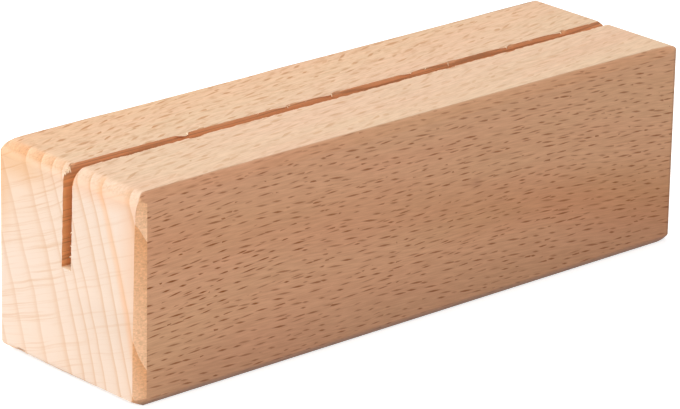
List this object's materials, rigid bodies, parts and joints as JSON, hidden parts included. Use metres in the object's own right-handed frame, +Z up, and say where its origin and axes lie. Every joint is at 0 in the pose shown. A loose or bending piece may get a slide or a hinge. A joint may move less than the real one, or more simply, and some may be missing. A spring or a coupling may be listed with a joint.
{
  "type": "menu holder",
  "caption": "Square block of solid beech with eased edges and one leaning saw slot along its top that holds a menu card upright.",
  "frame": {"origin": "middle of the underside, on the surface that the block stands on", "axes": "+Z up, +X along the block's length and its slot, -Y towards the long side that the top of the slot leans to"},
  "size_m": [0.15, 0.0446, 0.0445],
  "materials": {
    "beech": "bare beech, planed and sanded, with end grain at both ends"
  },
  "bodies": {
    "root": {"beech_block": "beech"}
  },
  "joints": []
}
